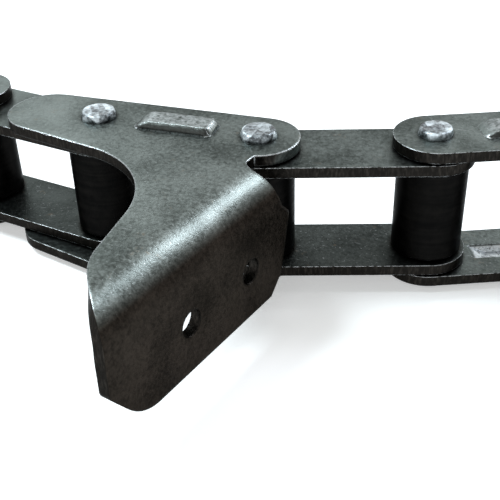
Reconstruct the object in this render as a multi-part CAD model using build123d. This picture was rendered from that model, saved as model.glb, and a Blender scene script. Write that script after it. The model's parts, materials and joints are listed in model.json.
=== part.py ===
"""Roller chain for a farm machine's paddle elevator, seven links long, lying on its side.

Inner and outer links alternate. The middle link is an outer link whose upper plate carries
a bent flange for a paddle. The pins stand along Z, +X runs along the middle link's pitch
line, +Y is the sprocket side, and the origin is the middle of the first link's free bush.
"""

import os
from math import cos, radians, sin, sqrt, tan

from build123d import *

# Chain sizes, millimetres
pitch = 38.4
inner_width = 23.0
plate_thickness = 2.5
inner_plate_height = 18.0
outer_plate_height = 18.3
pin_diameter = 6.92
bush_bore = 7.06
bush_diameter = 10.2
roller_bore = 10.36
roller_diameter = 15.88
roller_end_clearance = 0.25
roller_edge_chamfer = 0.5
link_side_clearance = 0.6

# Riveted pin heads, heavier on the attachment link
head_height = 1.6
head_flat_depth = 0.35
head_base_diameter = 7.8
head_top_diameter = 6.8
attachment_head_base_diameter = 8.5
attachment_head_top_diameter = 7.2

# Stamped rib along the middle of every outer plate
rib_length = 18.0
rib_width = 6.8
rib_height = 1.6
rib_long_ramp = 4.5
rib_short_ramp = 1.2
rib_side_slope = 0.8
rib_wall = 0.7
rib_corner_radius = 1.2

# Attachment link's upper plate: round tail past the left pin and slanted lower edge
tail_radius = 9.4
tail_reach = 12.8
tail_drop = 0.4
lower_edge_angle = 13.6

# Attachment link's lower plate: longer tail, belly under the ear and narrower right end
lower_tail_reach = 14.4
lower_plate_edge_angle = 15.2
lower_plate_end_radius = 6.7
belly_reach = 17.0
belly_radius = 7.0

# Attachment plate: ear, fold and flange. The bolt centre is measured from the left pin.
bolt_centre_x = 42.0
bolt_centre_reach = 35.9
bolt_spacing = 20.0
bolt_hole_diameter = 5.8
fold_slant = 16.0
fold_outer_radius = 9.0
ear_left_x = 23.6
ear_root_radius = 24.0
ear_corner_radius = 18.4
flange_bottom_clearance = 0.5
flange_near_reach = 33.4
flange_near_chamfer_height = 10.0
flange_near_chamfer_length = 7.5
flange_near_corner_radius = 1.5
flange_near_bottom_radius = 12.5
flange_far_reach = 24.8
flange_far_drop = 10.3
flange_far_corner_radius = 1.2
flange_toe_inset = 3.4
flange_toe_chamfer = 4.0
neck_reach = 20.2
neck_end_reach = 22.0
neck_end_drop = 7.4
neck_end_radius = 1.0
neck_inset = 0.1
neck_radius = 2.5

# Rest angles between neighbouring links, degrees towards the sprocket side
rest_bends = (12.0, 8.0, 10.2, 16.6, 5.7, 10.0)
attachment_link = 4

# Heights that follow from the sizes above
inner_plate_z = inner_width / 2
outer_plate_z = inner_plate_z + plate_thickness + link_side_clearance
outer_face_z = outer_plate_z + plate_thickness
link_count = len(rest_bends) + 1


def slot_face(height):
    """A link plate's outline: straight sides and a round end about each pin."""
    ends = [Pos(x, 0) * Circle(height / 2) for x in (0, pitch)]
    return make_hull(ends[0].edges() + ends[1].edges())


def pin_holes(diameter):
    """Through holes for one link plate, from z = 0 up."""
    holes = [Pos(x, 0, 0) * Cylinder(diameter / 2, 4 * plate_thickness) for x in (0, pitch)]
    return holes[0] + holes[1]


def rib_form(length, width, height):
    """A raised bar on z = 0: a long ramp at one end, a short one at the other, sloped sides."""
    left, right = (pitch - length) / 2, (pitch + length) / 2
    long_view = Polyline(
        (left, 0), (left + rib_long_ramp, height), (right - rib_short_ramp, height), (right, 0),
        close=True,
    )
    half = width / 2
    end_view = Polyline(
        (-half, 0), (-half + rib_side_slope, height), (half - rib_side_slope, height), (half, 0),
        close=True,
    )
    along = extrude(Plane.XZ * make_face(long_view), width, both=True)
    across = extrude(Plane.YZ * make_face(end_view), 2 * pitch)
    plan = Pos(pitch / 2, 0, 0) * extrude(RectangleRounded(length, width, rib_corner_radius), height)
    return along & across & plan


def stamp_rib(plate):
    """Raises the rib on the plate's outer face, z = thickness, and sinks its hollow inside."""
    bump = Pos(0, 0, plate_thickness) * rib_form(rib_length, rib_width, rib_height)
    hollow = rib_form(rib_length - 2 * rib_wall, rib_width - 2 * rib_wall, rib_height)
    return plate + bump - hollow


def inner_plate():
    """Plate of an inner link, z from 0 to its thickness, with holes for two bushes."""
    return extrude(slot_face(inner_plate_height), plate_thickness) - pin_holes(bush_diameter)


def outer_plate():
    """Plate of a plain outer link, z from 0 to its thickness, with the rib and pin holes."""
    blank = extrude(slot_face(outer_plate_height), plate_thickness)
    return stamp_rib(blank) - pin_holes(pin_diameter)


def bush():
    """Bush pressed into both inner plates, flush with their outer faces."""
    length = inner_width + 2 * plate_thickness
    return Cylinder(bush_diameter / 2, length) - Cylinder(bush_bore / 2, length)


def roller():
    """Roller that turns on a bush between the inner plates."""
    length = inner_width - 2 * roller_end_clearance
    body = Cylinder(roller_diameter / 2, length)
    body = chamfer(body.edges().filter_by(GeomType.CIRCLE), roller_edge_chamfer)
    return body - Cylinder(roller_bore / 2, length)


def pin_head(base_diameter, top_diameter):
    """Riveted head on z = 0: a cone frustum with six hammered flats."""
    cone = Cone(base_diameter / 2, top_diameter / 2, head_height,
                align=(Align.CENTER, Align.CENTER, Align.MIN))
    hexagon = RegularPolygon(base_diameter / 2 - head_flat_depth, 6, major_radius=False)
    return cone & extrude(hexagon, head_height)


def pin(base_diameter, top_diameter):
    """Pin through both outer plates, centred on z = 0, with a head on each outer face."""
    shank = Cylinder(pin_diameter / 2, 2 * outer_face_z)
    upper = Pos(0, 0, outer_face_z) * pin_head(base_diameter, top_diameter)
    lower = Rot(180, 0, 0) * upper
    return shank + upper + lower


def tail_body_face(reach, drop, end_radius):
    """Attachment-link plate: a round tail past the left pin and a round right end."""
    tail = Pos(-reach, -drop) * Circle(tail_radius)
    end = Pos(pitch, 0) * Circle(end_radius)
    return make_hull(tail.edges() + end.edges())


def slanted_face(reach, drop, angle, corner_x, corner_radius, last_points):
    """The plate below the tail and pins: a slanted lower edge from the tail's round to
    corner_x, then last_points and the left pin."""
    slant = radians(angle)
    start_x = -reach - tail_radius * sin(slant)
    start_y = -drop - tail_radius * cos(slant)
    corner_y = start_y - (corner_x - start_x) * tan(slant)
    points = [(start_x, start_y), (corner_x, corner_y), *last_points, (0, 0)]
    radii = [0, corner_radius] + [0] * (len(points) - 2)
    return make_face(FilletPolyline(*points, radius=radii, close=True))


def fold_axes():
    """Directions in the plate's plane: along the fold, and outwards from the flange."""
    a = radians(fold_slant)
    return Vector(sin(a), cos(a), 0), Vector(cos(a), -sin(a), 0)


def fold_point(along, outward, z=0):
    """A point given along the fold and outwards from the flange's face at the bolt centre."""
    s_axis, n_axis = fold_axes()
    return Vector(bolt_centre_x, -bolt_centre_reach, z) + s_axis * along + n_axis * outward


def ear_left_edge(along=None, outward=None):
    """The ear's straight left edge: one of its two fold coordinates from the other."""
    s_axis, n_axis = fold_axes()
    gap = ear_left_x - bolt_centre_x
    if along is None:
        return (gap - outward * n_axis.X) / s_axis.X
    return (gap - along * s_axis.X) / n_axis.X


def ear_outline():
    """Outline of ear and flange together, as corners and fillets in the sheet's diagonal view.

    The first coordinate runs along the fold. The second is the distance across the sheet
    over the square root of two: on the flat ear it is negative, back from the flange's
    face, and on the flange it is positive, down from the top.
    """
    drop = outer_face_z + inner_plate_z - flange_bottom_clearance
    toe = flange_far_reach - flange_toe_inset
    ear_back = -2 * fold_outer_radius
    shoulder = neck_reach + outer_plate_height / 2
    corners = [
        (ear_left_edge(outward=ear_back), ear_back, 0),
        (-flange_near_reach, ear_left_edge(along=-flange_near_reach), ear_corner_radius),
        (-flange_near_reach, drop - flange_near_chamfer_height, flange_near_corner_radius),
        (-flange_near_reach + flange_near_chamfer_length, drop, flange_near_bottom_radius),
        (toe - flange_toe_chamfer, drop, 0),
        (toe, drop - flange_toe_chamfer, 0),
        (flange_far_reach, flange_far_drop, flange_far_corner_radius),
        (neck_end_reach, neck_end_drop, neck_end_radius),
        (neck_reach, -neck_inset - fold_outer_radius, neck_radius),
        (shoulder, -neck_inset - fold_outer_radius, 0),
        (shoulder, ear_back, 0),
    ]
    points = [(along, across / sqrt(2)) for along, across, _ in corners]
    radii = [radius for _, _, radius in corners]
    return make_face(FilletPolyline(*points, radius=radii, close=True)), drop


def bent_ear():
    """The ear, fold and flange as one bent sheet of the plate's thickness.

    The sheet's outer skin is trimmed in the diagonal view, then thickened inwards, so that
    the cut edge stands square to the sheet all round the fold.
    """
    s_axis, n_axis = fold_axes()
    edge = fold_point(0, 0, outer_face_z)
    outline, drop = ear_outline()
    diagonal = Plane(origin=edge, x_dir=s_axis, z_dir=-(n_axis + Vector(0, 0, 1)))
    trim = extrude(diagonal * outline, 2 * drop, both=True)
    section = Plane(origin=edge, x_dir=n_axis, z_dir=-s_axis)
    radius, reach = fold_outer_radius, flange_near_reach + flange_far_reach
    path = Wire([
        Line((-3 * radius, 0), (-radius, 0)),
        CenterArc((-radius, -radius), radius, 90, -90),
        Line((0, -radius), (0, -2 * drop)),
    ])
    start = (section * path).moved(Location(s_axis * -reach))
    skin = Shell.extrude(start, s_axis * 2 * reach)
    return Solid.thicken(Shell((skin & trim).faces()), plate_thickness)


def bolt_holes():
    """Two holes through the flange for the paddle's bolts."""
    s_axis, n_axis = fold_axes()
    holes = []
    for side in (-1, 1):
        place = Plane(origin=fold_point(side * bolt_spacing / 2, 0), x_dir=s_axis, z_dir=n_axis)
        holes.append(place * Cylinder(bolt_hole_diameter / 2, 4 * plate_thickness))
    return holes[0] + holes[1]


def attachment_plate():
    """Upper plate of the attachment link, in place between z = outer_plate_z and its face."""
    mid_ear = -1.75 * fold_outer_radius
    left = fold_point(ear_left_edge(outward=mid_ear), mid_ear)
    right = fold_point(neck_reach + outer_plate_height / 2, mid_ear)
    body = tail_body_face(tail_reach, tail_drop, outer_plate_height / 2)
    root = slanted_face(tail_reach, tail_drop, lower_edge_angle, ear_left_x, ear_root_radius,
                        [(left.X, left.Y), (right.X, right.Y)])
    flat = extrude(body + root, plate_thickness)
    plate = Pos(0, 0, outer_plate_z) * (stamp_rib(flat) - pin_holes(pin_diameter))
    return plate + bent_ear() - bolt_holes()


def attachment_link_lower_plate():
    """Lower plate of the attachment link, z from 0 to its thickness, outer face up."""
    body = tail_body_face(lower_tail_reach, 0, lower_plate_end_radius)
    belly = slanted_face(lower_tail_reach, 0, lower_plate_edge_angle, belly_reach, belly_radius,
                         [(pitch, 0)])
    blank = extrude(body + belly, plate_thickness)
    return stamp_rib(blank) - pin_holes(pin_diameter)


def chain_axes():
    """Each link's left axis and heading, so that the attachment link lies along +X."""
    middle = attachment_link - 1
    headings = [sum(rest_bends[middle:k]) - sum(rest_bends[k:middle]) for k in range(link_count)]
    places, point = [], Vector(0, 0, 0)
    for heading in headings:
        places.append((point, heading))
        point = point + Vector(cos(radians(heading)), sin(radians(heading)), 0) * pitch
    return places


def link_parts(number):
    """The named parts of one link in its own frame: left axis at x = 0, right at the pitch."""
    inner = number % 2 == 1
    if inner:
        upper = Pos(0, 0, inner_plate_z) * inner_plate()
        lower = Pos(0, 0, -inner_plate_z - plate_thickness) * inner_plate()
        axle, name = bush(), "bush"
    else:
        upper = Pos(0, 0, outer_plate_z) * outer_plate()
        lower = mirror(upper, Plane.XY)
        axle, name = pin(head_base_diameter, head_top_diameter), "pin"
    if number == attachment_link:
        axle = pin(attachment_head_base_diameter, attachment_head_top_diameter)
        upper = attachment_plate()
        lower = mirror(Pos(0, 0, outer_plate_z) * attachment_link_lower_plate(), Plane.XY)
    parts = {"upper_plate": upper, "lower_plate": lower}
    for side, x in (("left", 0), ("right", pitch)):
        parts[f"{name}_{side}"] = Pos(x, 0, 0) * axle
        if inner:
            parts[f"roller_{side}"] = Pos(x, 0, 0) * roller()
    return parts


def main():
    os.makedirs("parts", exist_ok=True)
    for number, (point, heading) in enumerate(chain_axes(), start=1):
        place = Location((point.X, point.Y, 0), (0, 0, heading))
        for name, shape in link_parts(number).items():
            export_step(place * shape, f"parts/link_{number}_{name}.step")


main()
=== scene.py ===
"""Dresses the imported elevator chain: oiled dark steel, worn bright edges, hammered pin heads.

Everything is in metres, in the part's own frame: +Z along the pins, the chain lying on its side.
"""

import json
from math import pi, radians, sin

import bpy
from mathutils import Matrix, Vector, noise


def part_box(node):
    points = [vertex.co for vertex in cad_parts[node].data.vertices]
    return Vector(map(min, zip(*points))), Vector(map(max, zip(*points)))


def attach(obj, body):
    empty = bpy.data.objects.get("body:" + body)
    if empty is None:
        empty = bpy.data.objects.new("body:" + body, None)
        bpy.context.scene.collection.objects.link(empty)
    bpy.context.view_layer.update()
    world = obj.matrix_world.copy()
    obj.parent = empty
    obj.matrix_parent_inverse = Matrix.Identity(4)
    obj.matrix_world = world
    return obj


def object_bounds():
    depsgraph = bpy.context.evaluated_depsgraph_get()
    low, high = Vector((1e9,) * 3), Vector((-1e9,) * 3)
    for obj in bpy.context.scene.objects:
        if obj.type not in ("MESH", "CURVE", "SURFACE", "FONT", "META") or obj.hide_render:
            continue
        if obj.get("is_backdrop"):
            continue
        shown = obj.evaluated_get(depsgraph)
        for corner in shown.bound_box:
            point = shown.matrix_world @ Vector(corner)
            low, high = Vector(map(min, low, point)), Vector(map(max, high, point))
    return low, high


MM = 0.001

UP = Vector((0, 0, 1))
SIDEWAYS = Vector((0, 1, 0))
WHITE = (1, 1, 1)

# Camera, at the product picture's angle
CAMERA_PLACE = Vector((0.20066, -0.20580, 0.10605))
CAMERA_AZIMUTH = 18.954
CAMERA_ELEVATION = 33.970
CAMERA_ROLL = -1.767
CAMERA_LENS = 64.706
SENSOR_WIDTH = 36.0
NEAREST_SEEN = 5 * MM

# Floor and room
FLOOR_SIZE = 6.0
FLOOR_COLOUR = (0.82, 0.82, 0.82, 1)
FLOOR_GLOW = 0.42
ROOM_COLOUR = (0.86, 0.93, 0.92, 1)
ROOM_LIGHT = 0.30

# Lamps: name, place from the chain's centre, size, energy, colour
LAMPS = [
    ("key_overhead", (0.05, 0.10, 0.80), (0.40, 0.30), 1.0, WHITE),
    ("rim_light", (-0.45, -0.05, 0.75), (0.30, 0.30), 7.5, (0.84, 0.95, 1.0)),
    ("back_left", (-0.80, 0.90, 0.50), (0.55, 0.55), 2.0, (0.92, 0.98, 1.0)),
    ("back_right", (0.20, 1.05, 0.50), (0.50, 0.35), 1.0, (0.98, 1.0, 1.0)),
    ("fold_light", (0.36, 0.50, 0.58), (0.20, 0.28), 3.6, (0.86, 0.91, 1.0)),
    ("horizon_right", (0.65, 0.80, 0.14), (0.20, 0.16), 0.6, WHITE),
    ("front_fill", (-0.10, -0.90, 0.60), (0.80, 0.60), 2.0, WHITE),
]

# Sizes that scene.py shares with the solids
RIB_HEIGHT = 1.6 * MM
PLATE_THICKNESS = 2.5 * MM
FOLD_RADIUS = 9.0 * MM

# Rounding that the shading gives the edges, the widths of the wear along them, and how far the
# painted shade in corners reaches
EDGE_RADIUS = 0.40 * MM
ROLLED_RADIUS = 0.9 * MM
WEAR_WIDTH = 0.28 * MM
ROLLED_WEAR_WIDTH = 0.55 * MM
SHADE_REACH = 1.3 * MM

# Sizes of the surface's blotches and marks
PATCH_SIZE = 12 * MM
MOTTLE_SIZE = 0.9 * MM
GRAIN_SIZE = 0.35 * MM
RUST_SIZE = 4 * MM
SPECK_SIZE = 0.45 * MM
SCUFF_SIZE = 0.40 * MM
CHIP_SIZE = 0.9 * MM
SCRATCH_SIZE = 0.22 * MM
WAVE_SIZE = 11 * MM
STREAK_SIZE = 0.5 * MM
HAMMER_TONE_SIZE = 2.6 * MM
HAMMER_DENT_SIZE = 2.4 * MM
PIN_MOTTLE_SIZE = 0.8 * MM
BUSH_MOTTLE_SIZE = 1.0 * MM
BUSH_RING_SIZE = 0.3 * MM
ROLLER_MOTTLE_SIZE = 2.2 * MM
ROLLER_RING_SIZE = 0.8 * MM

# Depths of the relief
PLATE_RELIEF = 0.16 * MM
PLATE_WAVES = 0.70 * MM
PIN_DENTS = 0.26 * MM
BUSH_RINGS = 0.03 * MM
ROLLER_RINGS = 0.008 * MM

# Heights from a face, start and end of a band
RIB_FOOT = (0.05 * MM, 0.3 * MM)
RIB_CROWN = (0.3 * MM, RIB_HEIGHT)
HOLLOW_DEPTH = (0.15 * MM, 0.60 * MM)
FLANGE_SHADE_BELOW = (1.2 * MM, 4.6 * MM)
RIM_ABOVE = (3.0 * MM, 0.5 * MM)

# How metallic the plates and bushes are, and each steel's smoothest and roughest place
PLATE_METALLIC = 0.97
BUSH_METALLIC = 0.9
PLATE_ROUGHNESS = (0.28, 0.44)
PIN_ROUGHNESS = (0.30, 0.46)
BUSH_ROUGHNESS = (0.25, 0.45)
ROLLER_ROUGHNESS = (0.34, 0.46)
WORN_SMOOTHER = 0.08

# Strengths of the wear, rust and marks, of the painted shade on the rib's long sides and of the
# painted highlight in the hollows, 0 to 1
RUST_AMOUNT = 0.40
MARK_AMOUNT = 0.22
RIM_WEAR = 0.8
RIB_WEAR = 0.36
RIB_SIDE_SHADE = 0.8
HOLLOW_HIGHLIGHT = 0.65
ROLLER_WEAR = 0.25

# Rounded skin over each stamped rib: plan, slopes and lumps
SKIN_LENGTH = 18.9 * MM
SKIN_WIDTH = 7.8 * MM
SKIN_CORNER = 2.4 * MM
SKIN_LONG_SLOPE = 4.8 * MM
SKIN_SHORT_SLOPE = 1.5 * MM
SKIN_SIDE_SLOPE = 1.5 * MM
SKIN_PROUD = 0.10 * MM
SKIN_SUNK = 0.05 * MM
SKIN_THICKNESS = 0.30 * MM
SKIN_LUMPS = 0.18 * MM
SKIN_LUMP_SIZE = 2.2 * MM
SKIN_LUMP_APART = 10 * MM
SKIN_STEP = 0.30 * MM

# Steel colours, linear
PLATE_DARK = (0.052, 0.061, 0.057, 1)
PLATE_LIGHT = (0.155, 0.177, 0.169, 1)
PLATE_RUST = (0.110, 0.075, 0.042, 1)
# Painted shade: brown-black for the hanging flange, the same sheet as the plate's top
FLANGE_SHADE_DARK = (0.009, 0.0075, 0.006, 1)
FLANGE_SHADE_LIGHT = (0.032, 0.026, 0.021, 1)
# Painted shade: near-black for the sheared sides, the corners and the rib's long sides; the
# lighter colour streaks the shaded sheared sides
PAINTED_SHADE_DARK = (0.010, 0.009, 0.008, 1)
CUT_SHADE_LIGHT = (0.042, 0.037, 0.032, 1)
EDGE_TINT = (0.5, 0.5, 0.5, 1)
BRIGHT_STEEL = (0.62, 0.66, 0.68, 1)
PIN_DARK = (0.055, 0.062, 0.067, 1)
PIN_LIGHT = (0.46, 0.52, 0.55, 1)
BUSH_DARK = (0.05, 0.05, 0.05, 1)
BUSH_LIGHT = (0.20, 0.20, 0.20, 1)
ROLLER_DARK = (0.003, 0.003, 0.003, 1)
ROLLER_LIGHT = (0.008, 0.0075, 0.007, 1)

# Painted light and shade: how much lighter or darker each kind of plate is painted than the plate
# colours above, for the light it gets
ATTACHMENT_PAINTED_LIGHTING = 1.12
INNER_UPPER_PAINTED_LIGHTING = 0.88
INNER_LOWER_PAINTED_LIGHTING = 0.38
OUTER_UPPER_PAINTED_LIGHTING = 0.98
OUTER_LOWER_PAINTED_LIGHTING = 0.75


class Nodes:
    """A material's node tree, with short calls for the nodes that repeat."""

    def __init__(self, name):
        self.material = bpy.data.materials.new(name)
        self.material.use_nodes = True
        self.tree = self.material.node_tree
        self.tree.nodes.clear()
        self.output = self.add("ShaderNodeOutputMaterial")
        self.shader = self.add("ShaderNodeBsdfPrincipled")
        self.link(self.shader.outputs["BSDF"], self.output.inputs["Surface"])
        self.place = self.add("ShaderNodeTexCoord").outputs["Object"]

    def add(self, kind, **settings):
        node = self.tree.nodes.new(kind)
        for key, value in settings.items():
            setattr(node, key, value)
        return node

    def link(self, source, target):
        self.tree.links.new(source, target)

    def feed(self, socket, value):
        """Links an output to a socket, or sets the socket to a plain value."""
        if isinstance(value, bpy.types.NodeSocket):
            self.link(value, socket)
        else:
            socket.default_value = value

    def noise(self, size, detail=3.0, rough=0.55, stretch=(1, 1, 1), distortion=0.0):
        """Noise whose blotches are about size metres across, stretched per axis."""
        mapping = self.add("ShaderNodeMapping")
        mapping.inputs["Scale"].default_value = [1 / (size * s) for s in stretch]
        self.link(self.place, mapping.inputs["Vector"])
        node = self.add("ShaderNodeTexNoise")
        node.inputs["Scale"].default_value = 1.0
        node.inputs["Detail"].default_value = detail
        node.inputs["Roughness"].default_value = rough
        node.inputs["Distortion"].default_value = distortion
        self.link(mapping.outputs["Vector"], node.inputs["Vector"])
        return node.outputs["Fac"]

    def cells(self, size, output):
        """The named output of a pattern of random cells about size metres across."""
        node = self.add("ShaderNodeTexVoronoi")
        node.inputs["Scale"].default_value = 1 / size
        self.link(self.place, node.inputs["Vector"])
        return node.outputs[output]

    def math(self, operation, a, b=0.0):
        node = self.add("ShaderNodeMath", operation=operation)
        self.feed(node.inputs[0], a)
        self.feed(node.inputs[1], b)
        return node.outputs[0]

    def times(self, a, b):
        return self.math("MULTIPLY", a, b)

    def larger(self, a, b):
        return self.math("MAXIMUM", a, b)

    def total(self, *terms):
        """The sum of each value times its weight."""
        products = [self.times(value, weight) for value, weight in terms]
        result = products[0]
        for product in products[1:]:
            result = self.math("ADD", result, product)
        return result

    def span(self, value, low, high, to_low=0.0, to_high=1.0):
        """value mapped from low..high to to_low..to_high, smoothly and clamped."""
        node = self.add("ShaderNodeMapRange", interpolation_type="SMOOTHSTEP")
        self.feed(node.inputs["Value"], value)
        node.inputs["From Min"].default_value = low
        node.inputs["From Max"].default_value = high
        node.inputs["To Min"].default_value = to_low
        node.inputs["To Max"].default_value = to_high
        return node.outputs["Result"]

    def mix(self, amount, a, b):
        """Colour a where amount is 0 and b where it is 1."""
        node = self.add("ShaderNodeMix", data_type="RGBA")
        self.feed(node.inputs["Factor"], amount)
        self.feed(node.inputs[6], a)
        self.feed(node.inputs[7], b)
        return node.outputs[2]

    def dot(self, a, b):
        node = self.add("ShaderNodeVectorMath", operation="DOT_PRODUCT")
        self.feed(node.inputs[0], a)
        self.feed(node.inputs[1], b)
        return node.outputs["Value"]

    def axis(self, vector, letter):
        """One of a vector's X, Y and Z."""
        split = self.add("ShaderNodeSeparateXYZ")
        self.link(vector, split.inputs[0])
        return split.outputs[letter]

    def bump(self, height, distance, strength=1.0, normal=None):
        node = self.add("ShaderNodeBump")
        node.inputs["Strength"].default_value = strength
        node.inputs["Distance"].default_value = distance
        self.link(height, node.inputs["Height"])
        if normal is not None:
            self.link(normal, node.inputs["Normal"])
        return node.outputs["Normal"]

    def rounded(self, radius):
        """The surface normal as if every edge were rounded by that radius."""
        node = self.add("ShaderNodeBevel", samples=6)
        node.inputs["Radius"].default_value = radius
        return node.outputs["Normal"]

    def true_normal(self):
        return self.add("ShaderNodeNewGeometry").outputs["True Normal"]

    def edge_mask(self, width):
        """1 at an edge, falling to 0 that far away from it."""
        return self.span(self.dot(self.rounded(width), self.true_normal()), 0.995, 0.80)

    def height(self):
        """The point's height along the pins."""
        return self.axis(self.place, "Z")

    def facing(self, direction):
        """How far the surface faces a direction: 1 straight at it, -1 straight away."""
        return self.dot(self.true_normal(), direction)


def height_band(n, from_height, steps):
    """0 rising to 1 between two heights, given as two steps up or down from from_height."""
    start, end = steps
    return n.span(n.height(), from_height + start, from_height + end)


def down(steps):
    """The same two steps, downwards."""
    return [-step for step in steps]


def rib_wear(n, face_height, mottle):
    """Bright wear on the raised rib's top and ends, but not on its long sides."""
    raised = height_band(n, face_height, RIB_CROWN)
    not_side = n.span(n.math("ABSOLUTE", n.facing(SIDEWAYS)), 0.45, 0.20)
    patchy = n.span(mottle, 0.25, 0.65)
    return n.times(n.times(n.times(raised, not_side), patchy), RIB_WEAR)


def rib_side_shade(n, face_height):
    """Painted shade on the raised rib's long sides, which are coloured dark."""
    raised = height_band(n, face_height, RIB_FOOT)
    side = n.span(n.math("ABSOLUTE", n.facing(SIDEWAYS)), 0.30, 0.60)
    return n.times(n.times(raised, side), RIB_SIDE_SHADE)


def hollow_highlight(n, face_height, mottle):
    """Painted highlight: bright steel in the hollow behind a rib, as seen in a lower plate's upper
    face.
    """
    floor_height = -face_height + PLATE_THICKNESS
    below = height_band(n, floor_height, down(HOLLOW_DEPTH))
    hollow = n.times(n.span(n.facing(UP), 0.25, 0.45), below)
    return n.times(n.times(hollow, n.span(mottle, 0.20, 0.55)), HOLLOW_HIGHLIGHT)


def steel_noise(n):
    """The mottle and the finer grain that every plate shares."""
    mottle = n.noise(MOTTLE_SIZE, detail=4.0, rough=0.6, distortion=0.4)
    grain = n.noise(GRAIN_SIZE, detail=2.0)
    return mottle, grain


def plate_colour(n, painted_lighting, mottle, grain):
    """Mottled grey-green scale with a little rust, made lighter or darker by the plate's painted
    light and shade, and how pale each point of it is.
    """
    patches = n.noise(PATCH_SIZE, detail=2.0)
    amount = n.span(n.total((patches, 0.40), (mottle, 0.45), (grain, 0.15)), 0.34, 0.66)
    # Painted light and shade: the plate colours are scaled for the light each kind of plate gets
    dark = [painted_lighting * c for c in PLATE_DARK[:3]] + [1]
    pale = [painted_lighting * c for c in PLATE_LIGHT[:3]] + [1]
    colour = n.mix(amount, dark, pale)
    rust = n.times(n.span(n.noise(RUST_SIZE, detail=4.0), 0.60, 0.70), n.span(mottle, 0.5, 0.6))
    colour = n.mix(n.times(rust, RUST_AMOUNT), colour, PLATE_RUST)
    specks = n.span(n.noise(SPECK_SIZE, detail=1.0), 0.70, 0.76)
    scuffs = n.noise(SCUFF_SIZE, detail=2.0, stretch=(6, 1, 6), distortion=0.8)
    marks = n.larger(specks, n.times(n.span(scuffs, 0.66, 0.74), 0.7))
    return n.mix(n.times(marks, MARK_AMOUNT), colour, BRIGHT_STEEL), amount


def plate_finish(n, colour, mottle, grain, bright, edge_radius):
    """Painted shade in the corners, bright wear and painted highlights, roughness and relief,
    shared by every plate.
    """
    # Painted shade: the colour darkens to near-black in corners and creases, around the ribs and
    # pin heads, where ambient occlusion finds shade
    corner_shade = n.add("ShaderNodeAmbientOcclusion", samples=6, only_local=False)
    corner_shade.inputs["Distance"].default_value = SHADE_REACH
    unshaded = n.span(corner_shade.outputs["AO"], 0.40, 1.0)
    colour = n.mix(unshaded, PAINTED_SHADE_DARK, colour)
    colour = n.mix(bright, colour, BRIGHT_STEEL)
    n.link(colour, n.shader.inputs["Base Color"])
    n.shader.inputs["Metallic"].default_value = PLATE_METALLIC
    n.shader.inputs["Specular Tint"].default_value = EDGE_TINT
    rough = n.span(n.total((mottle, 1.0), (grain, 0.5)), 0.50, 1.00, *PLATE_ROUGHNESS)
    rough = n.math("SUBTRACT", rough, n.times(bright, WORN_SMOOTHER))
    n.link(rough, n.shader.inputs["Roughness"])
    scratch = n.noise(SCRATCH_SIZE, detail=2.0, stretch=(9, 1, 1))
    relief = n.total((mottle, 0.6), (grain, 0.30), (scratch, 0.15))
    normal = n.bump(relief, PLATE_RELIEF, 0.6, n.rounded(edge_radius))
    normal = n.bump(n.noise(WAVE_SIZE, detail=1.0), PLATE_WAVES, 0.6, normal)
    n.link(normal, n.shader.inputs["Normal"])


def cut_side_shade(n, colour, flatness):
    """Painted shade darkens the sheared sides, where flatness is low, and real shear streaks run
    through the sheet.
    """
    streaks = n.noise(STREAK_SIZE, detail=3.0, stretch=(1, 1, 4))
    sheared_shade = n.mix(n.span(streaks, 0.40, 0.95), PAINTED_SHADE_DARK, CUT_SHADE_LIGHT)
    return n.mix(n.span(flatness, 0.55, 0.25), colour, sheared_shade)


def plate_material(name, painted_lighting, face_height, ribbed):
    """Straight link plate, painted lighter or darker for the light its kind gets: sheared sides in
    painted shade, bright worn rims and, on a ribbed plate, a worn rib with painted shade on its
    long sides and a painted highlight in the hollow behind it.
    """
    n = Nodes(name)
    mottle, grain = steel_noise(n)
    colour, _ = plate_colour(n, painted_lighting, mottle, grain)
    colour = cut_side_shade(n, colour, n.math("ABSOLUTE", n.facing(UP)))
    chips = n.span(n.noise(CHIP_SIZE, detail=3.0), 0.36, 0.56)
    bright = n.times(n.times(n.edge_mask(WEAR_WIDTH), chips), RIM_WEAR)
    if ribbed:
        # Painted shade on the rib's long sides
        colour = n.mix(rib_side_shade(n, face_height), colour, PAINTED_SHADE_DARK)
        bright = n.larger(bright, rib_wear(n, face_height, mottle))
        # Painted highlight in the hollow behind the rib
        bright = n.larger(bright, hollow_highlight(n, face_height, mottle))
    plate_finish(n, colour, mottle, grain, bright, EDGE_RADIUS)
    return n.material


def fold_flatness(n, face_height, flange_face, outward):
    """1 on either face of the bent sheet and 0 on its cut sides.

    The sheet's own normal turns round the fold's axis, FOLD_RADIUS in from both outer faces.
    """
    past_axis = n.math("SUBTRACT", n.dot(n.place, outward), flange_face - FOLD_RADIUS)
    out_part = n.larger(past_axis, 0.0)
    up_part = n.larger(n.math("SUBTRACT", n.height(), face_height - FOLD_RADIUS), 0.0)
    facing_sheet = n.total((out_part, n.facing(outward)), (up_part, n.facing(UP)))
    reach = n.math("SQRT", n.total((out_part, out_part), (up_part, up_part)))
    return n.math("ABSOLUTE", n.math("DIVIDE", facing_sheet, reach))


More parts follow.
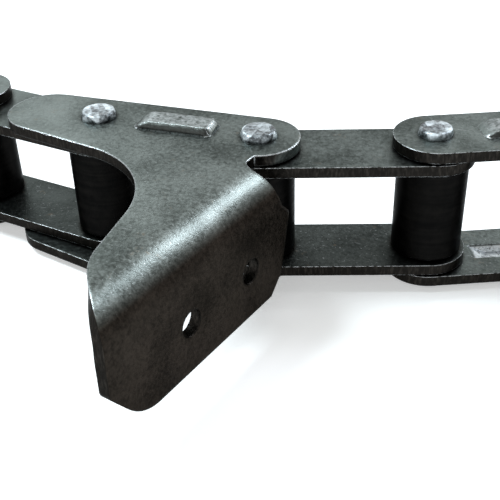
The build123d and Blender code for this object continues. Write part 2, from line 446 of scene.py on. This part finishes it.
def attachment_material(name, face_height, flange_face, outward):
    """The attachment plate: as the other plates above, painted lighter for the light it gets, with
    painted shade on the sheared sides and the rib's long sides, and painted shade that makes the
    hanging flange brown-black.
    """
    n = Nodes(name)
    mottle, grain = steel_noise(n)
    top, amount = plate_colour(n, ATTACHMENT_PAINTED_LIGHTING, mottle, grain)
    # Painted shade: the hanging flange is coloured brown-black
    flange_shade = n.mix(amount, FLANGE_SHADE_DARK, FLANGE_SHADE_LIGHT)
    hanging = height_band(n, face_height, down(FLANGE_SHADE_BELOW))
    colour = n.mix(hanging, top, flange_shade)
    colour = cut_side_shade(n, colour, fold_flatness(n, face_height, flange_face, outward))
    # Painted shade on the rib's long sides
    colour = n.mix(rib_side_shade(n, face_height), colour, PAINTED_SHADE_DARK)

    chips = n.span(n.noise(CHIP_SIZE, detail=3.0), 0.20, 0.50)
    upper = height_band(n, face_height, down(RIM_ABOVE))
    rim = n.times(n.times(n.edge_mask(ROLLED_WEAR_WIDTH), chips), upper)
    bright = n.larger(n.times(rim, RIM_WEAR), rib_wear(n, face_height, mottle))
    plate_finish(n, colour, mottle, grain, bright, ROLLED_RADIUS)
    return n.material


def pin_material():
    """Riveted pin: bright hammered head with dark creases, dull shank."""
    n = Nodes("riveted_pin")
    tones = n.axis(n.cells(HAMMER_TONE_SIZE, "Color"), "X")
    mottle = n.noise(PIN_MOTTLE_SIZE, detail=4.0)
    amount = n.span(n.total((tones, 0.5), (mottle, 1.0)), 0.40, 1.0)
    n.link(n.mix(amount, PIN_DARK, PIN_LIGHT), n.shader.inputs["Base Color"])
    n.shader.inputs["Metallic"].default_value = 1.0
    n.link(n.span(mottle, 0.35, 0.7, *PIN_ROUGHNESS), n.shader.inputs["Roughness"])
    relief = n.total((n.cells(HAMMER_DENT_SIZE, "Distance"), 1.4), (mottle, 0.35))
    n.link(n.bump(relief, PIN_DENTS, 0.7, n.rounded(ROLLED_RADIUS)), n.shader.inputs["Normal"])
    return n.material


def bush_material():
    """Ground steel bush with a dull film."""
    n = Nodes("bush_steel")
    mottle = n.noise(BUSH_MOTTLE_SIZE, detail=4.0)
    rings = n.noise(BUSH_RING_SIZE, detail=2.0, stretch=(8, 8, 1))
    n.link(n.mix(n.span(mottle, 0.35, 0.7), BUSH_DARK, BUSH_LIGHT), n.shader.inputs["Base Color"])
    n.shader.inputs["Metallic"].default_value = BUSH_METALLIC
    n.link(n.span(rings, 0.3, 0.7, *BUSH_ROUGHNESS), n.shader.inputs["Roughness"])
    n.link(n.bump(rings, BUSH_RINGS, 0.5, n.rounded(EDGE_RADIUS)), n.shader.inputs["Normal"])
    return n.material


def roller_material():
    """Black satin roller with faint turning marks and lighter ends."""
    n = Nodes("roller_black")
    rings = n.noise(ROLLER_RING_SIZE, detail=1.0, stretch=(20, 20, 1))
    mottle = n.noise(ROLLER_MOTTLE_SIZE, detail=4.0)
    amount = n.span(n.total((rings, 0.5), (mottle, 0.5)), 0.3, 0.8)
    colour = n.mix(amount, ROLLER_DARK, ROLLER_LIGHT)
    edge = n.times(n.edge_mask(WEAR_WIDTH), n.span(mottle, 0.35, 0.6))
    colour = n.mix(n.times(edge, ROLLER_WEAR), colour, BRIGHT_STEEL)
    n.link(colour, n.shader.inputs["Base Color"])
    n.shader.inputs["Metallic"].default_value = 1.0
    n.shader.inputs["Specular Tint"].default_value = EDGE_TINT
    rough = n.span(n.math("ADD", rings, mottle), 0.7, 1.3, *ROLLER_ROUGHNESS)
    n.link(rough, n.shader.inputs["Roughness"])
    n.link(n.bump(rings, ROLLER_RINGS, 0.3, n.rounded(EDGE_RADIUS)), n.shader.inputs["Normal"])
    return n.material


def rib_profile(x, y):
    """Share of the rib's full height at a point of its plan, both from the rib's centre."""
    half_long, half_wide = SKIN_LENGTH / 2, SKIN_WIDTH / 2
    over_x = max(abs(x) - (half_long - SKIN_CORNER), 0)
    over_y = max(abs(y) - (half_wide - SKIN_CORNER), 0)
    inside = SKIN_CORNER - Vector((over_x, over_y)).length
    slopes = (
        (x + half_long) / SKIN_LONG_SLOPE,
        (half_long - x) / SKIN_SHORT_SLOPE,
        (half_wide - abs(y)) / SKIN_SIDE_SLOPE,
        inside / SKIN_SIDE_SLOPE,
        1.0,
    )
    return sin(max(min(slopes), 0) * pi / 2)


def rib_axes(link):
    """The rib's centre, midway between the link's pins, and its directions along and across."""
    ends = []
    for end in ("left", "right"):
        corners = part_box(f"link_{link}_pin_{end}")
        ends.append(Vector([(a + b) / 2 for a, b in zip(*corners)]))
    along = (ends[1] - ends[0]).normalized()
    return (ends[0] + ends[1]) / 2, along, Vector((-along.y, along.x, 0))


def add_rib_skin(link, side, face_height, material):
    """A rounded, slightly lumpy skin over a stamped rib. side is 1 above and -1 below."""
    centre, along, across = rib_axes(link)
    columns = round(SKIN_LENGTH / SKIN_STEP)
    rows = round(SKIN_WIDTH / SKIN_STEP)
    points = []
    for i in range(columns + 1):
        for j in range(rows + 1):
            x = SKIN_LENGTH * (i / columns - 0.5)
            y = SKIN_WIDTH * (j / rows - 0.5)
            share = rib_profile(x, y)
            lump = noise.noise(Vector((x, y, SKIN_LUMP_APART * link * side)) / SKIN_LUMP_SIZE)
            height = share * (RIB_HEIGHT + SKIN_PROUD + SKIN_SUNK) - SKIN_SUNK
            height += share * SKIN_LUMPS * lump
            lift = Vector((0, 0, side * (face_height + height)))
            points.append(centre + along * x + across * y + lift)
    faces = []
    for i in range(columns):
        for j in range(rows):
            a = i * (rows + 1) + j
            face = (a, a + rows + 1, a + rows + 2, a + 1)
            faces.append(face if side > 0 else face[::-1])
    label = "upper" if side > 0 else "lower"
    mesh = bpy.data.meshes.new(f"link_{link}_{label}_rib_skin")
    mesh.from_pydata(points, [], faces)
    mesh.shade_smooth()
    mesh.materials.append(material)
    skin = bpy.data.objects.new(mesh.name, mesh)
    bpy.context.scene.collection.objects.link(skin)
    solid = skin.modifiers.new("thickness", "SOLIDIFY")
    solid.thickness = SKIN_THICKNESS
    solid.offset = -1
    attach(skin, "attachment_link" if link == 4 else f"outer_link_{link}")


def dress(nodes, mounts, face_height):
    """Gives every node of the frame the material for what it is, the upper and lower plates as
    copies painted lighter and darker for the light they get, and every rib its skin.
    """
    outward = Vector(mounts["paddle_bolt_near"]["axis"])
    bolt_hole = Vector(mounts["paddle_bolt_near"]["pos_m"])
    flange_face = (bolt_hole + outward * PLATE_THICKNESS / 2).dot(outward)
    attachment = attachment_material("attachment_steel", face_height, flange_face, outward)
    # Painted light and shade: lit and shaded copies of the plate material for the upper and lower
    # plates
    inner_plates = {
        "upper": plate_material("inner_plate_upper_painted_light", INNER_UPPER_PAINTED_LIGHTING, face_height, ribbed=False),
        "lower": plate_material("inner_plate_lower_painted_shade", INNER_LOWER_PAINTED_LIGHTING, face_height, ribbed=False),
    }
    outer_plates = {
        "upper": plate_material("outer_plate_upper_painted_light", OUTER_UPPER_PAINTED_LIGHTING, face_height, ribbed=True),
        "lower": plate_material("outer_plate_lower_painted_shade", OUTER_LOWER_PAINTED_LIGHTING, face_height, ribbed=True),
    }
    kinds = {"pin": pin_material(), "bush": bush_material(), "roller": roller_material()}
    for name, obj in nodes.items():
        _, number, kind = name.split("_")[:3]
        if kind in kinds:
            material = kinds[kind]
        elif name == "link_4_upper_plate":
            material = attachment
        elif int(number) % 2 == 1:
            material = inner_plates[kind]
        else:
            material = outer_plates[kind]
        for material_slot in obj.material_slots:
            material_slot.material = material
    for link in (2, 4, 6):
        upper = attachment if link == 4 else outer_plates["upper"]
        add_rib_skin(link, 1, face_height, upper)
        add_rib_skin(link, -1, face_height, outer_plates["lower"])


def background_rays(tree):
    """1 for rays from the camera, and for those that metal or glass sends on, else 0."""
    rays = tree.nodes.new("ShaderNodeLightPath")
    seen = rays.outputs["Is Camera Ray"]
    for kind in ("Is Glossy Ray", "Is Transmission Ray"):
        either = tree.nodes.new("ShaderNodeMath")
        either.operation = "MAXIMUM"
        tree.links.new(seen, either.inputs[0])
        tree.links.new(rays.outputs[kind], either.inputs[1])
        seen = either.outputs[0]
    return seen


def add_floor(low):
    """A plain white floor level with the chain's lowest point, which keeps its shadow."""
    mesh = bpy.data.meshes.new("floor")
    half = FLOOR_SIZE / 2
    corners = [(-half, -half, low), (half, -half, low), (half, half, low), (-half, half, low)]
    mesh.from_pydata(corners, [], [(0, 1, 2, 3)])
    floor = bpy.data.objects.new("floor", mesh)
    bpy.context.scene.collection.objects.link(floor)
    n = Nodes("floor_paper")
    n.shader.inputs["Base Color"].default_value = FLOOR_COLOUR
    n.shader.inputs["Roughness"].default_value = 0.9
    n.shader.inputs["Specular IOR Level"].default_value = 0.1
    glow = n.add("ShaderNodeEmission")
    glow.inputs["Color"].default_value = (*WHITE, 1)
    glow.inputs["Strength"].default_value = FLOOR_GLOW
    lit = n.add("ShaderNodeAddShader")
    choice = n.add("ShaderNodeMixShader")
    n.link(n.shader.outputs["BSDF"], lit.inputs[0])
    n.link(glow.outputs["Emission"], lit.inputs[1])
    n.link(background_rays(n.tree), choice.inputs["Fac"])
    n.link(n.shader.outputs["BSDF"], choice.inputs[1])
    n.link(lit.outputs[0], choice.inputs[2])
    n.link(choice.outputs[0], n.output.inputs["Surface"])
    mesh.materials.append(n.material)
    floor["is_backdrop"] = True


def add_lamp(name, place, target, size, energy, colour):
    """A soft rectangular studio lamp at place, facing target."""
    data = bpy.data.lights.new(name, "AREA")
    data.shape = "RECTANGLE"
    data.size, data.size_y = size
    data.energy = energy
    data.color = colour
    lamp = bpy.data.objects.new(name, data)
    lamp.location = place
    lamp.rotation_euler = (target - place).to_track_quat("-Z", "Y").to_euler()
    bpy.context.scene.collection.objects.link(lamp)


def add_world():
    """A soft room, and a white background where the camera or shiny steel looks at it."""
    world = bpy.data.worlds.new("studio")
    bpy.context.scene.world = world
    world.use_nodes = True
    tree = world.node_tree
    tree.nodes.clear()
    output = tree.nodes.new("ShaderNodeOutputWorld")
    room = tree.nodes.new("ShaderNodeBackground")
    room.inputs["Color"].default_value = ROOM_COLOUR
    room.inputs["Strength"].default_value = ROOM_LIGHT
    seen = tree.nodes.new("ShaderNodeBackground")
    seen.inputs["Color"].default_value = (*WHITE, 1)
    seen.inputs["Strength"].default_value = 1.0
    mix = tree.nodes.new("ShaderNodeMixShader")
    tree.links.new(background_rays(tree), mix.inputs["Fac"])
    tree.links.new(room.outputs[0], mix.inputs[1])
    tree.links.new(seen.outputs[0], mix.inputs[2])
    tree.links.new(mix.outputs[0], output.inputs["Surface"])


def add_camera():
    data = bpy.data.cameras.new("camera")
    data.lens = CAMERA_LENS
    data.sensor_width = SENSOR_WIDTH
    data.clip_start = NEAREST_SEEN
    camera = bpy.data.objects.new("camera", data)
    turn = Matrix.Rotation(radians(CAMERA_AZIMUTH), 4, "Z")
    tilt = Matrix.Rotation(radians(90 - CAMERA_ELEVATION), 4, "X")
    roll = Matrix.Rotation(radians(CAMERA_ROLL), 4, "Z")
    camera.matrix_world = Matrix.Translation(CAMERA_PLACE) @ turn @ tilt @ roll
    bpy.context.scene.collection.objects.link(camera)
    bpy.context.scene.camera = camera


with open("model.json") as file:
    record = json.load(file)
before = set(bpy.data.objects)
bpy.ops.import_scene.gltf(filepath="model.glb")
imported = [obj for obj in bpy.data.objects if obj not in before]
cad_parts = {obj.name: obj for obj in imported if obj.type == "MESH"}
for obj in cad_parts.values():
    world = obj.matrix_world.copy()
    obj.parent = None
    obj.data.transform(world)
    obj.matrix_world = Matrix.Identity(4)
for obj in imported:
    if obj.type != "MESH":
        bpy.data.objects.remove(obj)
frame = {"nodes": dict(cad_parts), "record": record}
cad_bounds = [list(corner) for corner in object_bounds()]

low, high = (Vector(corner) for corner in cad_bounds)
centre = (low + high) / 2
face_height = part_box("link_2_upper_plate")[1][2] - RIB_HEIGHT
mounts = {mount["name"]: mount for mount in frame["record"]["mounts"]}
dress(frame["nodes"], mounts, face_height)
add_floor(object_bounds()[0][2])
add_world()
for name, offset, size, energy, colour in LAMPS:
    add_lamp(name, centre + Vector(offset), centre, size, energy, colour)
add_camera()
bpy.context.scene.view_settings.view_transform = "Standard"
